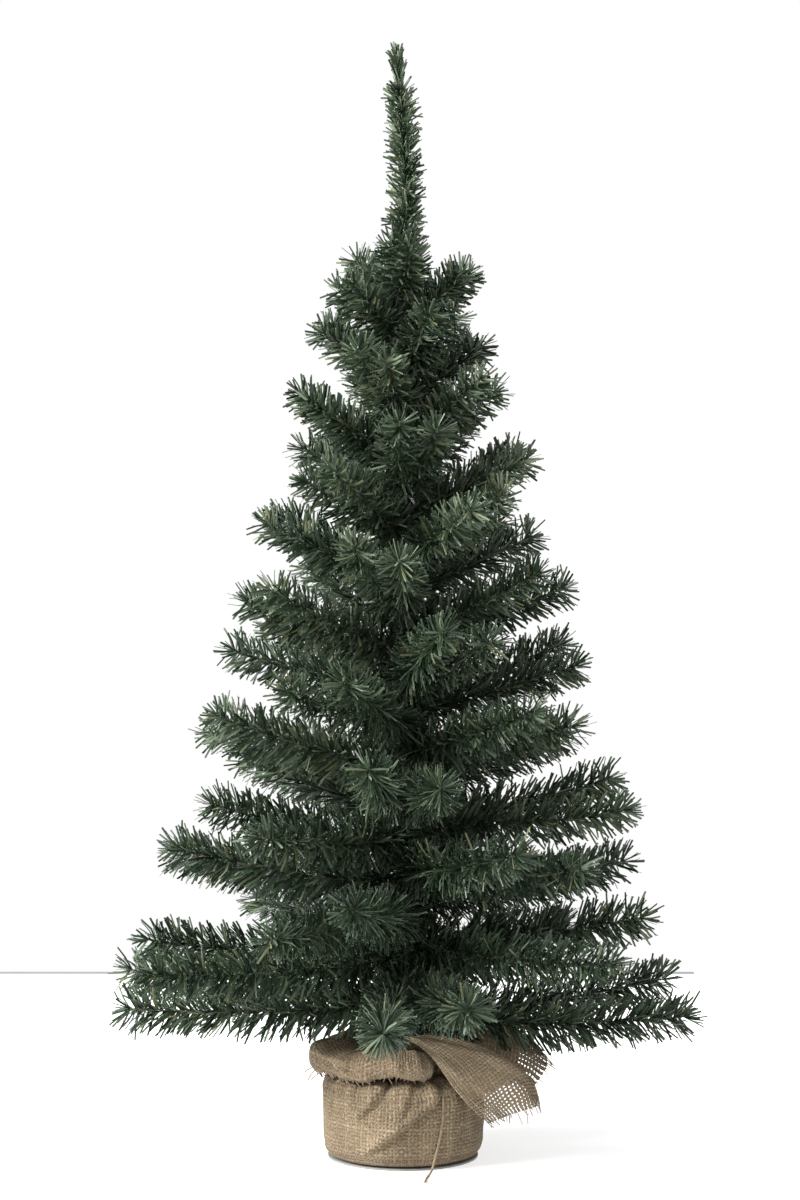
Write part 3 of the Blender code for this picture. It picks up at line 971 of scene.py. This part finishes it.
def side_cloth(bearing, section):
    """Radius and height, as grids, of the cloth on the weight: lapped, swelling, gathered and pleated."""
    columns, rows = len(bearing), len(section)
    slope = np.gradient(section, axis=0)
    normal = unit(np.stack([slope[:, 1], -slope[:, 0]], axis=1))
    bearing = np.repeat(bearing[:, None], rows, axis=1)
    radius = np.repeat(section[None, :, 0], columns, axis=0)
    height = np.repeat(section[None, :, 1], columns, axis=0)
    turn = np.radians(bearing)
    on_side = smoothstep(0.006, 0.012, height)
    lap = LAP_RISE * smoothstep(*LAP_CLIMB, bearing) * on_side
    by_twine = np.exp(-(((bearing + 63.0) % 360.0 + 180.0) % 360.0 - 180.0) ** 2 / 90.0)
    swell = 0.0015 * waves(turn * 2.0, height * 60.0, 5) * on_side * (1.0 - 0.8 * by_twine)
    near_neck = smoothstep(TOP - 0.016, TOP + 0.006, height)
    near_neck = near_neck * smoothstep(NECK - 0.001, NECK + 0.010, radius)
    gather = 0.0011 * np.sin(turn * 19.0 + 2.0 * waves(turn * 3.0, 0.0, 9)) * near_neck
    proud = lap + swell + gather + (0.0004 + pleats(bearing, height)) * on_side
    proud = np.where(proud < 0.0, CLOTH_EASE * np.tanh(proud / CLOTH_EASE), proud)
    return radius + proud * normal[None, :, 0], height + proud * normal[None, :, 1]


def collar_cloth(share):
    """The free cloth above the twine, still smooth: a row of places for each share of the strip."""
    control = []
    for line in COLLAR:
        path = around(*np.array(line, float).T)
        fine = smooth_through(path, np.linspace(0.0, len(path) - 1, 120))
        marks = np.concatenate([[0.0], np.cumsum(np.linalg.norm(np.diff(fine, axis=0), axis=1))])
        even = np.linspace(0.0, marks[-1], COLLAR_NODES)
        control.append(np.stack([np.interp(even, marks, fine[:, k]) for k in range(3)], axis=1))
    neck_bearing = np.array([line[0][0] for line in COLLAR], float)
    goal = neck_bearing[0] + (neck_bearing[-1] - neck_bearing[0]) * share
    across_rows = smooth_through(np.array(control), np.interp(goal, neck_bearing, np.arange(len(COLLAR))))
    up_marks = np.linspace(0.0, COLLAR_NODES - 1, int(COLLAR_RUN / CLOTH_STEP) + 1)
    return np.stack([smooth_through(column, up_marks) for column in across_rows]) / 1000.0, goal


def rippled(collar, lengths, bearing):
    """The collar with its soft unevenness, and the fine creases that run up from the twine."""
    flow = unit(np.gradient(collar, axis=1))
    along = unit(np.gradient(collar, axis=0))
    out = unit(np.cross(along, flow))
    turn = np.radians(bearing)[:, None] * np.ones((1, collar.shape[1]))
    deep = smoothstep(0.0, 0.020, lengths)
    ripple = waves(turn * 6.0, lengths * 80.0, 21) * deep * 0.0021
    ripple = ripple + waves(turn * 15.0, lengths * 210.0, 33) * deep * 0.0007
    creases = np.sin(turn * 21.0 + 3.0 * waves(turn * 2.0, lengths * 30.0, 4))
    near_twine = np.exp(-lengths / 0.014) * smoothstep(0.0, 0.004, lengths)
    ripple = ripple + creases * 0.0008 * near_twine
    return collar + out * ripple[:, :, None]


def cloth_grid():
    """Places of the strip's points, their own length and width on it, and how far off the cut edge is."""
    columns = int(STRIP_LONG / CLOTH_STEP) + 1
    share = np.linspace(0.0, 1.0, columns)
    bearing = STRIP_START + STRIP_TURN * share
    section = side_section()
    rows_low = len(section)
    lengths = np.concatenate([[0.0], np.cumsum(np.linalg.norm(np.diff(section, axis=0), axis=1))])
    radius, height = side_cloth(bearing, section)
    low = around(np.repeat(bearing[:, None], rows_low, axis=1), radius, height)

    collar, goal = collar_cloth(share)
    steps = np.linalg.norm(np.diff(collar, axis=1), axis=2)
    collar_length = np.concatenate([np.zeros((columns, 1)), np.cumsum(steps, axis=1)], axis=1)
    draw = smoothstep(0.60, 1.0, np.linspace(0.0, 1.0, rows_low))[None, :, None]
    low = low + (collar[:, 0] - low[:, -1])[:, None, :] * draw
    collar = rippled(collar, collar_length, goal)

    places = np.concatenate([low, collar[:, 1:]], axis=1)
    along_strip = np.repeat((share * STRIP_LONG)[:, None], places.shape[1], axis=1)
    low_lengths = np.repeat(lengths[None], columns, axis=0)
    up_strip = np.concatenate([low_lengths, lengths[-1] + collar_length[:, 1:]], axis=1)
    left_over = collar_length[:, -1:] - collar_length[:, 1:]
    to_edge = np.concatenate([np.full((columns, rows_low), 1.0), left_over], axis=1)
    return places, along_strip, up_strip, to_edge, bearing


def hessian_wrap(weave):
    """The strip of hessian, tied round the neck, its long corner hanging at the front right."""
    places, along_strip, up_strip, to_edge, bearing = cloth_grid()
    columns, rows = places.shape[:2]
    faces = []
    for a in range(columns - 1):
        for b in range(rows - 1):
            k = a * rows + b
            faces.append((k, k + rows, k + rows + 1, k + 1))
    open_side = 1.0 - smoothstep(70.0, 110.0, bearing)
    loose = (to_edge < LOOSE_WIDE) * open_side[:, None]
    frayed = np.clip(1.0 - to_edge / FRAY_WIDE, 0.0, 1.0) * open_side[:, None]
    strip = np.stack([along_strip, up_strip, np.zeros_like(up_strip)], axis=2)
    piece = mesh_piece(
        "hessian_wrap",
        places.reshape(-1, 3),
        faces,
        [weave],
        floats={"loose": loose.ravel(), "frayed": frayed.ravel()},
        vectors={"cloth": strip.reshape(-1, 3)},
        smooth=True,
    )
    body = piece.modifiers.new("cloth", "SOLIDIFY")
    body.thickness = HESSIAN_THICK
    body.offset = 0.0
    keep(piece, "base", "burlap_wrap", "burlap_wrap")
    return piece, places


def frayed_threads(places, yarn):
    """Ends of the long threads that stand out past the cut edge."""
    dice = random.Random(8)
    parts = []
    columns = places.shape[0]
    every = THREAD_PITCH / (STRIP_LONG / (columns - 1))
    count = int((columns - 1) / every)
    for number in range(count):
        column = min(columns - 1, int(round(number * every + dice.uniform(-0.4, 0.4))))
        column = max(0, column)
        edge = places[column, -1]
        way = unit(edge - places[column, -4])
        sideways = unit(places[min(columns - 1, column + 1), -1] - places[max(0, column - 1), -1])
        long = dice.uniform(0.0015, 0.0048) if dice.random() < 0.8 else dice.uniform(0.005, 0.0085)
        bend = dice.uniform(-0.45, 0.45)
        drop = dice.uniform(0.0, 0.45)
        fall = np.array([0.0, 0.0, drop * long])
        line = np.array([
            edge + way * (long * share - 0.0012) + sideways * bend * long * share**2 - fall * share**2
            for share in np.linspace(0.0, 1.0, 6)
        ])
        thick = dice.uniform(0.0006, 0.0010)
        parts.append(twisted_yarn(line, thick, FRINGE_PITCH, dice, sides=5))
    for bearing, radius, height, fall, swing in STRAYS:
        start = around(bearing, radius / 1000.0, height / 1000.0)
        out = around(bearing, 1.0, 0.0)
        side = around(bearing + 90.0, 1.0, 0.0)
        drop = np.array([0.0, 0.0, fall / 1000.0])
        line = np.array([
            start + out * STRAY_LONG * share + side * swing / 1000.0 * share**2 - drop * share**2
            for share in np.linspace(0.0, 1.0, 8)
        ])
        parts.append(twisted_yarn(line, STRAY_THICK, FRINGE_PITCH, dice, sides=5))
    points, faces = merged(parts)
    piece = mesh_piece("hessian_fringe", points, faces, [yarn], smooth=True)
    keep(piece, "base", "burlap_wrap")
    return piece


# ---------------------------------------------------------------- twine
def neck_twine(yarn):
    """Two turns of twine drawn tight round the neck, and the knot."""
    dice = random.Random(5)
    share = np.linspace(0.0, 1.0, 261)
    bearing = KNOT_BEARING + 360.0 * 2 * share
    lift = 0.0016 * (share * 2.0 - 1.0) + 0.0003 * np.sin(3.0 * np.radians(bearing))
    line = around(bearing, TIE_HIGH.x - TWINE_THICK / 2, NECK_Z + lift)
    points, faces = twisted_yarn(spaced(line, 0.0011), TWINE_THICK, TWINE_PITCH, dice)
    piece = mesh_piece("neck_twine", points, faces, [yarn], smooth=True)
    keep(piece, "base", "twine_tie", "twine_tie")

    loops = []
    for k in range(90):
        angle = 2.0 * math.pi * k / 90
        x = (math.sin(angle) + 2.0 * math.sin(2.0 * angle)) * 0.00075
        y = (math.cos(angle) - 2.0 * math.cos(2.0 * angle)) * 0.00090
        z = -math.sin(3.0 * angle) * 0.0008
        loops.append((x, z, y))
    spin = math.radians(KNOT_BEARING + 90.0)
    cosine, sine = math.cos(spin), math.sin(spin)
    turned = [(x * cosine - z * sine, x * sine + z * cosine, y) for x, z, y in loops]
    line = np.array(turned) + np.array(KNOT)
    points, faces = twisted_yarn(line, TWINE_THICK, TWINE_PITCH, dice, closed=True)
    knot = mesh_piece("twine_knot_lump", points, faces, [yarn], smooth=True)
    keep(knot, "base", "twine_knot", "twine_knot")


# ---------------------------------------------------------------- room
def flat_piece(name, across, deep, height, finish):
    (left, right), (near, far) = across, deep
    corners = [(left, near, height), (right, near, height), (right, far, height), (left, far, height)]
    mesh_piece(name, corners, [(0, 1, 2, 3)], [finish])


def floor():
    """A table top, with a soft grey line of painted shade along its far edge."""
    flat_piece("table_top", (-TABLE_HALF, TABLE_HALF), (TABLE_FRONT, TABLE_EDGE), 0.0, pale_floor())
    edge = (TABLE_EDGE - EDGE_WIDE, TABLE_EDGE)
    flat_piece("table_edge_shade", (-TABLE_HALF, EDGE_END), edge, EDGE_LIFT, edge_painted_shade())


def lamp(name, place, aim, size, watts):
    light = bpy.data.lights.new(name, "AREA")
    light.shape = "SQUARE"
    light.size = size
    light.energy = watts
    aimed(name, light, place, aim)


def lights():
    world = bpy.data.worlds.new("studio")
    world.use_nodes = True
    shell = world.node_tree.nodes["Background"].inputs
    shell["Color"].default_value = (1.0, 1.0, 1.0, 1.0)
    path = world.node_tree.nodes.new("ShaderNodeLightPath")
    level = world.node_tree.nodes.new("ShaderNodeMapRange")
    level.inputs["To Min"].default_value = SHELL_LIGHT
    level.inputs["To Max"].default_value = 1.0
    world.node_tree.links.new(path.outputs["Is Camera Ray"], level.inputs["Value"])
    world.node_tree.links.new(level.outputs["Result"], shell["Strength"])
    bpy.context.scene.world = world
    lamp("key", (-2.1, -0.75, 1.65), (0.0, 0.0, 0.34), 1.2, 186.0)
    lamp("top", (-0.30, -0.35, 1.95), (0.0, 0.0, 0.55), 1.0, 38.0)


def dress(node, material):
    solid = frame["nodes"][node]
    for slot in solid.material_slots:
        slot.material = material


def main():
    camera()
    yarn = jute()
    loose_end(yarn)
    film, metal = needle_green(), wire_green()
    for number, joint in enumerate(j for j in frame["joints"] if j["child"].startswith("branch_")):
        branch(number, joint, film, metal)
    top_wire(film, metal)
    cloth, places = hessian_wrap(hessian())
    fringe = frayed_threads(places, yarn)
    neck_twine(yarn)
    dress("trunk_wrap", stem_tape())
    dress("trunk_core", stem_steel())
    dress("weight_block", cement())
    dress("base_pad", felt())
    floor()
    lights()
    bpy.context.scene.view_settings.view_transform = "Standard"


main()
